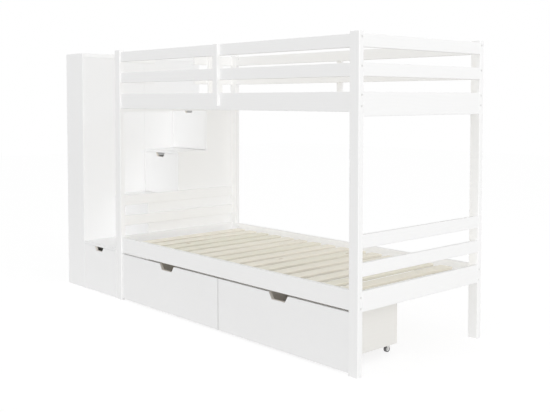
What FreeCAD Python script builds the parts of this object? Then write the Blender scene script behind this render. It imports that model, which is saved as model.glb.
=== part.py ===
import FreeCAD, Part
import os
from FreeCAD import Vector

# Bunk bed with storage stairs. Millimetres.
# +X runs to the foot end, +Y to the back, +Z up. The origin is on the floor, at
# the middle of the whole piece of furniture. The front long side faces -Y.

# ---------------------------------------------------------------- overall
bed_length = 2080.0          # outside the posts, for a 2000 long mattress
bed_depth = 980.0            # outside the posts, for a 900 wide mattress
post_height = 1590.0
stair_width = 410.0          # bed end to bookcase wall
bookcase_width = 220.0

# ---------------------------------------------------------------- bed frame
post_width = 58.0            # along X
post_thickness = 32.0        # along Y
post_edge_radius = 3.0
rail_thickness = 22.0        # long rails and long guard boards
rail_recess = 9.0            # post face to rail face
end_board_thickness = 20.0   # boards across the two ends
edge_radius = 2.5

lower_rail_bottom = 304.0
lower_rail_height = 96.0
upper_rail_height = 92.0
upper_end_rail_drop = 20.0   # the end rails reach this much lower

guard_height = 62.0
guard_gap = 70.0
guard_below_post = 11.0      # post top to the top guard board
end_panel_height = 64.0
end_panel_gap = 67.0

stile_width = 40.0
stile_thickness = 18.0
stile_foot_lift = 22.0       # above the bottom edge of the long rail
head_guard_front_length = 263.0    # the way in from the stairs is the gap between
head_guard_back_length = 330.0     # the front and back boards of the head end
head_stile_width = 120.0
head_stile_inset = 107.0     # from the back boards' free end

# ---------------------------------------------------------------- slats
slat_count = 16
slat_width = 78.0
slat_thickness = 16.0
slat_foot_space = 4.0        # foot rail to the first slat
slat_head_space = 83.0       # last slat to the head rail
slat_end_gap = 22.0          # slat end to the rail's inner face
slat_below_rail = 30.0       # rail top edge to slat top
slat_radius = 4.0
cleat_width = 40.0
cleat_height = 24.0
cleat_end_gap = 2.0
strap_width = 20.0
strap_thickness = 1.0
strap_spacing = 560.0

# ---------------------------------------------------------------- fasteners
bolt_radius = 3.0
bolt_hole_radius = 3.5
bolt_head_radius = 5.0
bolt_head_height = 6.0
bolt_socket_radius = 2.5
bolt_socket_depth = 3.0
bolt_recess_radius = 6.0
bolt_recess_depth = 6.5      # the heads end just under the surface
bolt_past_nut = 8.5
bolt_tip_room = 2.0
guard_bolt_inset = 15.0      # top edge to bolt line
upper_rail_bolt_insets = (26.0, 15.0)    # from the bottom edge and the top edge
lower_rail_bolt_insets = (16.0, 27.0)
nut_from_rail_end = 30.0
nut_radius = 5.0
nut_length = 14.0
dowel_radius = 4.0
dowel_length = 36.0
dowel_end_gap = 1.0
dowel_pair_spacing = 18.0
free_board_dowel_insets = (28.0, 50.0)   # top edge to dowels, clear of the bolt
screw_radius = 2.0
screw_head_radius = 4.0
screw_head_height = 3.0
stile_screw_bite = 11.0      # how far a screw goes into the second board
cleat_screw_bite = 14.0
cleat_screw_count = 5
cleat_screw_end_inset = 80.0
hole_clearance = 0.1         # radial, round dowels, nuts, screws and pins

# ---------------------------------------------------------------- bed drawers
bed_drawer_floor_gap = 9.0
bed_drawer_rail_gap = 9.0
bed_drawer_end_gap = 2.0
bed_drawer_middle_gap = 4.0
bed_drawer_front_thickness = 18.0
bed_drawer_box_inset = 75.0  # front's end to the side's outer face
bed_drawer_box_top_drop = 42.0     # front's top edge to the sides' top edge
bed_drawer_box_depth = 418.0
bed_drawer_side_thickness = 15.0
bed_drawer_bottom_thickness = 12.0
bed_notch_top_width = 142.0
bed_notch_bottom_width = 98.0
bed_notch_depth = 34.0

wheel_radius = 17.0
wheel_width = 16.0
wheel_edge_radius = 2.0
wheel_floor_gap = 0.5
wheel_top_gap = 11.5         # wheel to bracket plate
axle_radius = 2.5
axle_clearance = 0.1
axle_head_radius = 4.5
axle_head_thickness = 1.5
bracket_wall = 2.0
bracket_wheel_gap = 1.5
bracket_plate_length = 44.0
bracket_skirt_length = 30.0
caster_inset = 42.0          # box side's outer face to the wheel's middle
caster_front_inset = 45.0
caster_back_inset = 29.0

# ---------------------------------------------------------------- stairs
step_count = 4
top_step_drop = 86.0         # upper rail's top edge to the top step
first_step_extra = 19.0      # the first rise is this much higher than the others
tread_thickness = 16.0
stringer_thickness = 16.0
stringer_bed_gap = 2.0
panel_radius = 1.0
stair_bottom_lift = 8.0
stair_back_thickness = 6.0
stair_front_thickness = 16.0
stair_front_side_gap = 2.5
stair_front_top_gap = 1.5
stair_front_bottom_gap = 2.5
stair_front_back_gap = 3.0   # front's rear face to the boards behind it
stair_front_floor_gap = 4.0
stair_notch_top_width = 106.0
stair_notch_bottom_width = 74.0
stair_notch_depth = 27.0
runner_width = 20.0
runner_height = 12.0
stair_box_side_gap = 4.0
stair_box_runner_gap = 0.5
stair_box_top_gap = 34.0
stair_box_back_gap = 14.0
stair_box_thickness = 12.0
stair_box_bottom_thickness = 6.0

# ---------------------------------------------------------------- bookcase
bookcase_board = 18.0
bookcase_wall = 16.0
bookcase_top_thickness = 28.0
bookcase_base_height = 60.0
bookcase_plinth_recess = 30.0
face_stile_width = 40.0
face_middle_stile_width = 58.0
shelf_count = 4
shelf_thickness = 16.0
shelf_side_gap = 1.0
shelf_pin_radius = 2.5
shelf_pin_length = 16.0
shelf_pin_depth = 8.0
shelf_pin_inset = 35.0
seam_gap = 1.0               # fine joint between the two wall panels

# ---------------------------------------------------------------- places
total_length = bookcase_width + stair_width + bed_length
foot_x = total_length / 2
head_x = foot_x - bed_length
wall_x = head_x - stair_width
outer_x = wall_x - bookcase_width
bed_mid_x = (head_x + foot_x) / 2
half_depth = bed_depth / 2
front_y = -half_depth
back_y = half_depth

rail_outer = half_depth - rail_recess
rail_inner = rail_outer - rail_thickness
rail_middle = rail_outer - rail_thickness / 2
rail_end = bed_length / 2 - post_width
post_inner = half_depth - post_thickness
end_outer = bed_length / 2
end_inner = end_outer - end_board_thickness
end_middle = end_outer - end_board_thickness / 2

top_guard_top = post_height - guard_below_post
top_guard = (top_guard_top - guard_height, top_guard_top)
middle_guard = (top_guard[0] - guard_gap - guard_height, top_guard[0] - guard_gap)
upper_rail_top = middle_guard[0] - guard_gap
upper_rail = (upper_rail_top - upper_rail_height, upper_rail_top)
upper_end_rail = (upper_rail[0] - upper_end_rail_drop, upper_rail_top)
lower_rail = (lower_rail_bottom, lower_rail_bottom + lower_rail_height)
low_panel = (lower_rail[1] + end_panel_gap,
             lower_rail[1] + end_panel_gap + end_panel_height)
high_panel = (low_panel[1] + end_panel_gap,
              low_panel[1] + end_panel_gap + end_panel_height)
guards = (middle_guard, top_guard)
panels = (low_panel, high_panel)

entry_front_y = -post_inner + head_guard_front_length
entry_back_y = post_inner - head_guard_back_length

stringer_x = (head_x - stringer_bed_gap - stringer_thickness,
              head_x - stringer_bed_gap)
step_depth = bed_depth / step_count
step_rise = (upper_rail_top - top_step_drop - first_step_extra) / step_count
stair_back_y = back_y - stair_back_thickness

ends = {"head": -1, "foot": 1}
sides = {"front": -1, "back": 1}


# ---------------------------------------------------------------- helpers
def span(a, b):
    return (min(a, b), max(a, b))


def box(x, y, z):
    return Part.makeBox(x[1] - x[0], y[1] - y[0], z[1] - z[0],
                        Vector(x[0], y[0], z[0]))


def board(x, y, z, radius=edge_radius):
    """A board with its four long edges rounded."""
    solid = box(x, y, z)
    lengths = [x[1] - x[0], y[1] - y[0], z[1] - z[0]]
    along = lengths.index(max(lengths))
    long_edges = []
    for edge in solid.Edges:
        run = edge.Vertexes[1].Point - edge.Vertexes[0].Point
        if abs(run[along]) > max(lengths) / 2:
            long_edges.append(edge)
    return solid.makeFillet(radius, long_edges)


def rod(start, direction, radius, length):
    return Part.makeCylinder(radius, length, start, direction)


def screw(start, direction, length, clearance=0.0):
    """A countersunk screw. Its head starts at the point start."""
    head = Part.makeCone(screw_head_radius + clearance, screw_radius + clearance,
                         screw_head_height, start, direction)
    shank = rod(start, direction, screw_radius + clearance, length + clearance)
    return head.fuse(shank).removeSplitter()


def cut_all(solid, tools):
    if not tools:
        return solid
    return solid.cut(Part.makeCompound(tools))


def save(name, solids):
    """Write one part file. Identical pieces may share one as separate solids."""
    flat = []
    for shape in solids:
        flat.extend(shape.Solids)
    whole = flat[0] if len(flat) == 1 else Part.makeCompound(flat)
    whole.exportStep("parts/" + name + ".step")


# ---------------------------------------------------------------- bolts
def rail_bolts(rail):
    """Heights of the lower and the upper bolt of a rail."""
    low, high = upper_rail_bolt_insets
    if rail == lower_rail:
        low, high = lower_rail_bolt_insets
    return [rail[0] + low, rail[1] - high]


def guard_bolts(guard):
    return [guard[1] - guard_bolt_inset]


def bolt_lines():
    """Heights of the bolts that hold the long boards to each post."""
    heights = []
    for guard in guards:
        heights += guard_bolts(guard)
    for rail in (lower_rail, upper_rail):
        heights += rail_bolts(rail)
    return heights


def bolt_corners():
    for end in ends.values():
        for side in sides.values():
            yield end, side


def bolt_length():
    return post_width - bolt_recess_depth + nut_from_rail_end + bolt_past_nut


def bolt(end, side, z):
    seat = Vector(bed_mid_x + end * (end_outer - bolt_recess_depth),
                  side * rail_middle, z)
    inward = Vector(-end, 0, 0)
    shank = rod(seat, inward, bolt_radius, bolt_length())
    head = rod(seat, -inward, bolt_head_radius, bolt_head_height)
    top = seat + Vector(end * bolt_head_height, 0, 0)
    socket = rod(top, inward, bolt_socket_radius, bolt_socket_depth)
    return shank.fuse(head).cut(socket).removeSplitter()


def bolt_hole(end, side, z):
    face = Vector(bed_mid_x + end * end_outer, side * rail_middle, z)
    inward = Vector(-end, 0, 0)
    recess = rod(face, inward, bolt_recess_radius, bolt_recess_depth)
    hole = rod(face, inward, bolt_hole_radius,
               bolt_recess_depth + bolt_length() + bolt_tip_room)
    return recess.fuse(hole)


def nut_centre(end, side, z):
    return Vector(bed_mid_x + end * (rail_end - nut_from_rail_end),
                  side * rail_middle, z)


def barrel_nut(end, side, z):
    centre = nut_centre(end, side, z)
    across = Vector(0, side, 0)
    body = rod(centre - across * (nut_length / 2), across, nut_radius, nut_length)
    thread = rod(centre - Vector(nut_radius * 2, 0, 0), Vector(1, 0, 0),
                 bolt_radius + hole_clearance, nut_radius * 4)
    return body.cut(thread)


def nut_hole(end, side, z):
    """Drilled from the inside, through the cleat where there is one."""
    centre = nut_centre(end, side, z)
    across = Vector(0, side, 0)
    depth = cleat_width + rail_thickness / 2 + nut_length / 2
    start = centre - across * (rail_thickness / 2 + cleat_width)
    return rod(start, across, nut_radius + hole_clearance, depth)


def nut_holes(side, heights):
    return [nut_hole(end, side, z) for end in ends.values() for z in heights]


# ---------------------------------------------------------------- dowels
def end_board_dowel_heights(end, side, z):
    """Dowels at one end of an end board: thin boards have one, the end rails a pair
    between the bolts. The front guard boards of the head end are held at one end
    only, so they have a pair too."""
    if z in guards and (end, side) == (ends["head"], sides["front"]):
        return [z[1] - inset for inset in free_board_dowel_insets]
    if z in panels or z in guards:
        return [(z[0] + z[1]) / 2]
    low, high = rail_bolts(lower_rail if z == lower_rail else upper_rail)
    middle = (low + high) / 2
    return [middle - dowel_pair_spacing / 2, middle + dowel_pair_spacing / 2]


def dowel(end, side, z, clearance=0.0):
    reach = dowel_length / 2
    if clearance:
        reach += dowel_end_gap
    start = Vector(bed_mid_x + end * end_middle, side * (post_inner - reach), z)
    return rod(start, Vector(0, side, 0), dowel_radius + clearance, 2 * reach)


def dowel_places():
    for end, side in bolt_corners():
        for z in guards + panels + (lower_rail, upper_end_rail):
            for height in end_board_dowel_heights(end, side, z):
                yield end, side, height


# ---------------------------------------------------------------- bed frame
def post(end, side):
    x = span(bed_mid_x + end * (end_outer - post_width), bed_mid_x + end * end_outer)
    y = span(side * post_inner, side * half_depth)
    solid = box(x, y, (0, post_height))
    uprights = []
    for edge in solid.Edges:
        run = edge.Vertexes[1].Point - edge.Vertexes[0].Point
        if abs(run.z) > post_height / 2:
            uprights.append(edge)
    solid = solid.makeFillet(post_edge_radius, uprights)
    top = [edge for edge in solid.Edges
           if min(vertex.Z for vertex in edge.Vertexes) > post_height - 0.1]
    solid = solid.makeChamfer(post_edge_radius / 2, top)
    tools = [bolt_hole(end, side, z) for z in bolt_lines()]
    tools += [dowel(e, s, z, hole_clearance) for e, s, z in dowel_places()
              if (e, s) == (end, side)]
    return cut_all(solid, tools)


def long_board(side, z, bolt_heights):
    """A board between the posts of one long side, drilled for bolts and nuts."""
    x = (bed_mid_x - rail_end, bed_mid_x + rail_end)
    solid = board(x, span(side * rail_inner, side * rail_outer), z)
    tools = [bolt_hole(end, side, height)
             for end in ends.values() for height in bolt_heights]
    tools += nut_holes(side, bolt_heights)
    tools += stile_screws(side, z, hole_clearance)
    tools += cleat_screws_in(side, z, hole_clearance)
    return cut_all(solid, tools)


def long_rail(side, z):
    return long_board(side, z, rail_bolts(z))


def guard_board(side, z):
    return long_board(side, z, guard_bolts(z))


def end_board(end, z):
    """A board across one end, flush with the outside of the posts."""
    x = span(bed_mid_x + end * end_inner, bed_mid_x + end * end_outer)
    solid = board(x, (-post_inner, post_inner), z)
    tools = [dowel(end, side, height, hole_clearance)
             for side in sides.values()
             for height in end_board_dowel_heights(end, side, z)]
    if end == ends["head"]:
        tools += head_stile_screws(z, hole_clearance)
    return cut_all(solid, tools)


def head_guard_board(side, z):
    """The part of a head end guard board from one post to the way in."""
    x = (head_x, head_x + end_board_thickness)
    free_end = entry_front_y if side == sides["front"] else entry_back_y
    solid = board(x, span(side * post_inner, free_end), z)
    tools = [dowel(ends["head"], side, height, hole_clearance)
             for height in end_board_dowel_heights(ends["head"], side, z)]
    if side == sides["back"]:
        tools += head_stile_screws(z, hole_clearance)
    return cut_all(solid, tools)


# ---------------------------------------------------------------- guard stiles
def stile_foot():
    return upper_rail[0] + stile_foot_lift


def side_stile(side):
    """Upright across the long guard boards, flat on their outer faces."""
    x = (bed_mid_x - stile_width / 2, bed_mid_x + stile_width / 2)
    outer = side * (rail_outer + stile_thickness)
    solid = box(x, span(side * rail_outer, outer), (stile_foot(), top_guard[1]))
    outer_edges = []
    for edge in solid.Edges:
        ends_of_edge = [vertex.Point for vertex in edge.Vertexes]
        upright = abs(ends_of_edge[1].z - ends_of_edge[0].z) > stile_width
        if upright and abs(ends_of_edge[0].y - outer) < 0.1:
            outer_edges.append(edge)
    solid = solid.makeFillet(edge_radius, outer_edges)
    tools = []
    for z in guards + (upper_rail,):
        tools += stile_screws(side, z, hole_clearance)
    return cut_all(solid, tools)


def stile_screws(side, z, clearance=0.0):
    """Screws from the inner face of a long board into the stile."""
    if z not in guards + (upper_rail,):
        return []
    height = (max(z[0], stile_foot()) + z[1]) / 2
    return [screw(Vector(bed_mid_x + offset, side * rail_inner, height),
                  Vector(0, side, 0), rail_thickness + stile_screw_bite, clearance)
            for offset in (-stile_width / 4, stile_width / 4)]


def head_stile_span():
    start = entry_back_y + head_stile_inset
    return (start, start + head_stile_width)


def head_stile():
    """Wide upright on the inner faces of the back guard boards of the head end."""
    x = (head_x + end_board_thickness, head_x + end_board_thickness + stile_thickness)
    solid = board(x, head_stile_span(), (stile_foot(), top_guard[1]))
    tools = []
    for z in guards + (upper_end_rail,):
        tools += head_stile_screws(z, hole_clearance)
    return cut_all(solid, tools)


def head_stile_screws(z, clearance=0.0):
    """Screws from the outer face of a head end board into the wide upright."""
    if z not in guards + (upper_end_rail,):
        return []
    height = (max(z[0], stile_foot()) + z[1]) / 2
    low, high = head_stile_span()
    return [screw(Vector(head_x, y, height), Vector(1, 0, 0),
                  end_board_thickness + stile_screw_bite, clearance)
            for y in (low + stile_width / 2, high - stile_width / 2)]


# ---------------------------------------------------------------- slats
def slat_top(rail):
    return rail[1] - slat_below_rail


def slat_middles():
    """Evenly spaced from the foot rail, with the spare length at the head."""
    first = bed_mid_x + end_inner - slat_foot_space - slat_width / 2
    last = bed_mid_x - end_inner + slat_head_space + slat_width / 2
    pitch = (first - last) / (slat_count - 1)
    return [first - index * pitch for index in range(slat_count)]


def slats(rail):
    reach = rail_inner - slat_end_gap
    z = (slat_top(rail) - slat_thickness, slat_top(rail))
    return [board((middle - slat_width / 2, middle + slat_width / 2),
                  (-reach, reach), z, slat_radius) for middle in slat_middles()]


def straps(rail):
    """Two fabric straps that keep the slats evenly spaced, on their undersides."""
    places = slat_middles()
    x = (places[-1] - slat_width / 2, places[0] + slat_width / 2)
    under = slat_top(rail) - slat_thickness
    return [box(x, (middle - strap_width / 2, middle + strap_width / 2),
                (under - strap_thickness, under))
            for middle in (-strap_spacing / 2, strap_spacing / 2)]


def cleat_range(rail):
    top = slat_top(rail) - slat_thickness
    return (top - cleat_height, top)


def cleat(side, rail):
    x = (bed_mid_x - rail_end + cleat_end_gap, bed_mid_x + rail_end - cleat_end_gap)
    y = span(side * (rail_inner - cleat_width), side * rail_inner)
    tools = cleat_screws_in(side, rail, hole_clearance)
    tools += nut_holes(side, rail_bolts(rail))
    return cut_all(board(x, y, cleat_range(rail)), tools)


def cleat_screws_in(side, rail, clearance=0.0):
    """Screws through a cleat into its rail."""
    if rail not in (lower_rail, upper_rail):
        return []
    low, high = cleat_range(rail)
    reach = rail_end - cleat_screw_end_inset
    pitch = 2 * reach / (cleat_screw_count - 1)
    return [screw(Vector(bed_mid_x - reach + index * pitch,
                         side * (rail_inner - cleat_width), (low + high) / 2),
                  Vector(0, side, 0), cleat_width + cleat_screw_bite, clearance)
            for index in range(cleat_screw_count)]


# ---------------------------------------------------------------- bed drawers
def notched_front(x, y, z, top_width, bottom_width, depth):
    """A drawer front with a finger notch in the middle of its top edge."""
    middle = (x[0] + x[1]) / 2
    outline = [Vector(middle - top_width / 2, y[0], z[1]),
               Vector(middle - bottom_width / 2, y[0], z[1] - depth),
               Vector(middle + bottom_width / 2, y[0], z[1] - depth),
               Vector(middle + top_width / 2, y[0], z[1])]
    outline.append(outline[0])
    notch = Part.Face(Part.makePolygon(outline)).extrude(Vector(0, y[1] - y[0], 0))
    return board(x, y, z, panel_radius).cut(notch)


bed_drawer_front_y = -rail_outer
bed_drawer_box_y = (bed_drawer_front_y + bed_drawer_front_thickness,
                    bed_drawer_front_y + bed_drawer_front_thickness
                    + bed_drawer_box_depth)
bed_drawer_front_z = (bed_drawer_floor_gap, lower_rail[0] - bed_drawer_rail_gap)
bed_drawer_box_z = (wheel_floor_gap + 2 * wheel_radius + wheel_top_gap + bracket_wall,
                    bed_drawer_front_z[1] - bed_drawer_box_top_drop)
bed_drawers = {"left": -1, "right": 1}


def bed_drawer_span(hand):
    return span(bed_mid_x + hand * bed_drawer_middle_gap / 2,
                bed_mid_x + hand * (rail_end - bed_drawer_end_gap))


def bed_drawer_box_span(hand):
    low, high = bed_drawer_span(hand)
    return (low + bed_drawer_box_inset, high - bed_drawer_box_inset)


def bed_drawer_front(hand):
    y = (bed_drawer_front_y, bed_drawer_front_y + bed_drawer_front_thickness)
    return notched_front(bed_drawer_span(hand), y, bed_drawer_front_z,
                         bed_notch_top_width, bed_notch_bottom_width,
                         bed_notch_depth)


def bed_drawer_box(hand):
    """Two sides and a back."""
    low, high = bed_drawer_box_span(hand)
    wall = bed_drawer_side_thickness
    y0, y1 = bed_drawer_box_y
    return [board((low, low + wall), (y0, y1), bed_drawer_box_z, panel_radius),
            board((high - wall, high), (y0, y1), bed_drawer_box_z, panel_radius),
            board((low + wall, high - wall), (y1 - wall, y1), bed_drawer_box_z,
                  panel_radius)]


def bed_drawer_bottom(hand):
    low, high = bed_drawer_box_span(hand)
    wall = bed_drawer_side_thickness
    y0, y1 = bed_drawer_box_y
    under = bed_drawer_box_z[0]
    return box((low + wall, high - wall), (y0, y1 - wall),
               (under, under + bed_drawer_bottom_thickness))


# ---------------------------------------------------------------- casters
def caster_columns(hand):
    low, high = bed_drawer_box_span(hand)
    return (low + caster_inset, high - caster_inset)


def caster_row(row):
    if row == "front":
        return bed_drawer_box_y[0] + caster_front_inset
    return bed_drawer_box_y[1] - caster_back_inset


def axle_height():
    return wheel_floor_gap + wheel_radius


def wheel(x, y):
    """A plain hard wheel, bored for its axle, that spins about X."""
    start = Vector(x - wheel_width / 2, y, axle_height())
    tyre = rod(start, Vector(1, 0, 0), wheel_radius, wheel_width)
    rims = [edge for edge in tyre.Edges if edge.Curve.TypeId == "Part::GeomCircle"]
    tyre = tyre.makeFillet(wheel_edge_radius, rims)
    return tyre.cut(rod(start, Vector(1, 0, 0), axle_radius + axle_clearance,
                        wheel_width))


def axle_reach():
    return wheel_width / 2 + bracket_wheel_gap + bracket_wall


def axle(x, y):
    """A rivet through both cheeks of the bracket."""
    reach = axle_reach() + axle_head_thickness
    along = Vector(1, 0, 0)
    pin = rod(Vector(x - reach, y, axle_height()), along, axle_radius, 2 * reach)
    for start in (-reach, axle_reach()):
        head = rod(Vector(x + start, y, axle_height()), along, axle_head_radius,
                   axle_head_thickness)
        pin = pin.fuse(head)
    return pin.removeSplitter()


def bracket(x, y):
    """A folded plate: a top plate and two cheeks that carry the axle."""
    reach = axle_reach()
    top = bed_drawer_box_z[0]
    solid = box((x - reach, x + reach),
                (y - bracket_plate_length / 2, y + bracket_plate_length / 2),
                (top - bracket_wall, top))
    half = bracket_skirt_length / 2
    low = axle_height()
    for start in (x - reach, x + reach - bracket_wall):
        outline = [Vector(start, y - half, top - bracket_wall),
                   Vector(start, y - axle_head_radius, low - axle_head_radius),
                   Vector(start, y + axle_head_radius, low - axle_head_radius),
                   Vector(start, y + half, top - bracket_wall)]
        outline.append(outline[0])
        cheek = Part.Face(Part.makePolygon(outline))
        solid = solid.fuse(cheek.extrude(Vector(bracket_wall, 0, 0)))
    hole = rod(Vector(x - reach, y, low), Vector(1, 0, 0),
               axle_radius + axle_clearance / 2, 2 * reach)
    return solid.removeSplitter().cut(hole)


def bed_drawer_casters(hand):
    solids = []
    for row in ("front", "back"):
        for x in caster_columns(hand):
            solids.append(bracket(x, caster_row(row)))
            solids.append(axle(x, caster_row(row)))
    return solids


def bed_drawer_wheels(hand, row):
    return [wheel(x, caster_row(row)) for x in caster_columns(hand)]


# ---------------------------------------------------------------- stairs
def step_top(step):
    return first_step_extra + step * step_rise


def step_front(step):
    return front_y + (step - 1) * step_depth


def tread(step):
    """A shelf from the step's front edge to the back. The top one caps the panel."""
    rear = back_y if step == step_count else stair_back_y
    return board((wall_x, stringer_x[0]), (step_front(step), rear),
                 (step_top(step) - tread_thickness, step_top(step)), panel_radius)


def stair_floor_top():
    return stair_bottom_lift + tread_thickness


def stair_bottom():
    return board((wall_x, stringer_x[0]),
                 (front_y + stair_front_thickness + stair_front_back_gap,
                  stair_back_y),
                 (stair_bottom_lift, stair_floor_top()), panel_radius)


def stringer():
    """The stepped side panel along the bed. The treads end against it."""
    outline = [Vector(stringer_x[0], front_y, 0)]
    for step in range(1, step_count + 1):
        outline.append(Vector(stringer_x[0], step_front(step), step_top(step)))
        if step < step_count:
            outline.append(Vector(stringer_x[0], step_front(step + 1),
                                  step_top(step)))
    outline.append(Vector(stringer_x[0], back_y, step_top(step_count)))
    outline.append(Vector(stringer_x[0], back_y, 0))
    outline.append(outline[0])
    face = Part.Face(Part.makePolygon(outline))
    return face.extrude(Vector(stringer_thickness, 0, 0))


def stair_back_panel():
    return box((wall_x, stringer_x[0]), (stair_back_y, back_y),
               (stair_bottom_lift, step_top(step_count) - tread_thickness))


def compartment_floor(step):
    return stair_floor_top() if step == 1 else step_top(step - 1)


def runners():
    """Strips on each compartment floor that the drawer boxes slide on."""
    solids = []
    for step in range(1, step_count + 1):
        low = compartment_floor(step)
        y = (stair_box_y(step)[0] + stair_front_back_gap, stair_box_y(step)[1])
        for x in ((wall_x, wall_x + runner_width),
                  (stringer_x[0] - runner_width, stringer_x[0])):
            solids.append(board(x, y, (low, low + runner_height), panel_radius))
    return solids


def stair_box_y(step):
    return (step_front(step) + stair_front_thickness,
            stair_back_y - stair_box_back_gap)


def stair_drawer_front(step):
    low = stair_front_floor_gap
    if step > 1:
        low = step_top(step - 1) + stair_front_bottom_gap
    x = (wall_x + stair_front_side_gap, stringer_x[0] - stair_front_side_gap)
    y = (step_front(step), step_front(step) + stair_front_thickness)
    z = (low, step_top(step) - tread_thickness - stair_front_top_gap)
    return notched_front(x, y, z, stair_notch_top_width, stair_notch_bottom_width,
                         stair_notch_depth)


def stair_drawer_box(step):
    """Two sides, a back and a bottom between them."""
    x0 = wall_x + stair_box_side_gap
    x1 = stringer_x[0] - stair_box_side_gap
    y0, y1 = stair_box_y(step)
    z = (compartment_floor(step) + runner_height + stair_box_runner_gap,
         step_top(step) - tread_thickness - stair_box_top_gap)
    wall = stair_box_thickness
    lift = z[0] + stair_box_bottom_thickness
    return [board((x0, x0 + wall), (y0, y1), z, panel_radius),
            board((x1 - wall, x1), (y0, y1), z, panel_radius),
            board((x0 + wall, x1 - wall), (y1 - wall, y1), z, panel_radius),
            box((x0 + wall, x1 - wall), (y0, y1 - wall), (z[0], lift))]


# ---------------------------------------------------------------- bookcase
carcass_top = post_height - bookcase_top_thickness
open_x = outer_x + bookcase_board
inner_wall_x = wall_x - bookcase_wall
bay_edges = ((front_y + bookcase_board, -bookcase_board / 2),
             (bookcase_board / 2, back_y - bookcase_board))


def bookcase_uprights():
    """Front end panel, divider and back end panel."""
    z = (0, carcass_top)
    return [board((open_x, wall_x), (front_y, front_y + bookcase_board), z,
                  panel_radius),
            box((open_x, inner_wall_x), (-bookcase_board / 2, bookcase_board / 2), z),
            board((open_x, wall_x), (back_y - bookcase_board, back_y), z,
                  panel_radius)]


def bookcase_wall_panels():
    z = (0, carcass_top)
    return [box((inner_wall_x, wall_x), (front_y + bookcase_board, -seam_gap / 2), z),
            box((inner_wall_x, wall_x), (seam_gap / 2, back_y - bookcase_board), z)]


def bookcase_top():
    return board((outer_x, wall_x), (front_y, back_y), (carcass_top, post_height),
                 edge_radius)


def bookcase_face_stiles():
    """Uprights that cover the board edges on the open side."""
    x = (outer_x, open_x)
    z = (0, carcass_top)
    half = face_middle_stile_width / 2
    return [board(x, (front_y, front_y + face_stile_width), z, panel_radius),
            board(x, (-half, half), z, panel_radius),
            board(x, (back_y - face_stile_width, back_y), z, panel_radius)]


def bookcase_base():
    """A bottom board and a plinth in each bay."""
    solids = []
    top = bookcase_base_height + bookcase_board
    plinth_x = (open_x + bookcase_plinth_recess,
                open_x + bookcase_plinth_recess + bookcase_board)
    for bay in bay_edges:
        solids.append(board((open_x, inner_wall_x), bay,
                            (bookcase_base_height, top), panel_radius))
        solids.append(box(plinth_x, bay, (0, bookcase_base_height)))
    return solids


def shelf_heights():
    """Undersides of the shelves, evenly spread over the bay."""
    low = bookcase_base_height + bookcase_board
    clear = carcass_top - low - shelf_count * shelf_thickness
    pitch = clear / (shelf_count + 1) + shelf_thickness
    return [low + pitch * (index + 1) - shelf_thickness
            for index in range(shelf_count)]


def bookcase_shelves():
    solids = []
    for y0, y1 in bay_edges:
        for low in shelf_heights():
            solids.append(board((open_x + shelf_side_gap, inner_wall_x),
                                (y0 + shelf_side_gap, y1 - shelf_side_gap),
                                (low, low + shelf_thickness), panel_radius))
    return solids


def shelf_pins(clearance=0.0):
    """Four pins under each shelf, half in the board and half under the shelf."""
    solids = []
    columns = (open_x + shelf_pin_inset, inner_wall_x - shelf_pin_inset)
    for y0, y1 in bay_edges:
        for low in shelf_heights():
            z = low - shelf_pin_radius - hole_clearance
            for x in columns:
                for face, way in ((y0, 1), (y1, -1)):
                    start = Vector(x, face - way * (shelf_pin_depth + clearance), z)
                    solids.append(rod(start, Vector(0, way, 0),
                                      shelf_pin_radius + clearance,
                                      shelf_pin_length + clearance))
    return solids


# ---------------------------------------------------------------- build
def build_frame():
    for end_name, end in ends.items():
        for side_name, side in sides.items():
            save("post_%s_%s" % (side_name, end_name), [post(end, side)])
        save("upper_%s_rail" % end_name, [end_board(end, upper_end_rail)])
        save("lower_%s_rail" % end_name, [end_board(end, lower_rail)])
        save("lower_%s_boards" % end_name, [end_board(end, z) for z in panels])
    for side_name, side in sides.items():
        save("upper_%s_rail" % side_name, [long_rail(side, upper_rail)])
        save("lower_%s_rail" % side_name, [long_rail(side, lower_rail)])
        save("%s_guard_boards" % side_name, [guard_board(side, z) for z in guards])
    save("foot_guard_boards", [end_board(ends["foot"], z) for z in guards])
    save("head_guard_boards", [head_guard_board(side, z)
                               for side in sides.values() for z in guards])
    save("side_guard_stiles", [side_stile(side) for side in sides.values()])
    save("head_guard_stile", [head_stile()])


def build_slats():
    save("slat_cleats", [cleat(side, rail) for side in sides.values()
                         for rail in (lower_rail, upper_rail)])
    save("lower_slats", slats(lower_rail))
    save("upper_slats", slats(upper_rail))
    save("slat_straps", straps(lower_rail) + straps(upper_rail))


def build_fasteners():
    places = [(end, side, z) for end, side in bolt_corners() for z in bolt_lines()]
    save("bed_bolts", [bolt(*place) for place in places])
    save("barrel_nuts", [barrel_nut(*place) for place in places])
    save("frame_dowels", [dowel(*place) for place in dowel_places()])
    screws = []
    for z in guards + (upper_rail,):
        for side in sides.values():
            screws += stile_screws(side, z)
    for z in guards + (upper_end_rail,):
        screws += head_stile_screws(z)
    for rail in (lower_rail, upper_rail):
        for side in sides.values():
            screws += cleat_screws_in(side, rail)
    save("wood_screws", screws)


def build_bed_drawers():
    for name, hand in bed_drawers.items():
        save("%s_drawer_front" % name, [bed_drawer_front(hand)])
        save("%s_drawer_box" % name, bed_drawer_box(hand))
        save("%s_drawer_bottom" % name, [bed_drawer_bottom(hand)])
        save("%s_drawer_casters" % name, bed_drawer_casters(hand))
        save("%s_drawer_front_wheels" % name, bed_drawer_wheels(hand, "front"))
        save("%s_drawer_rear_wheels" % name, bed_drawer_wheels(hand, "back"))


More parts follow.
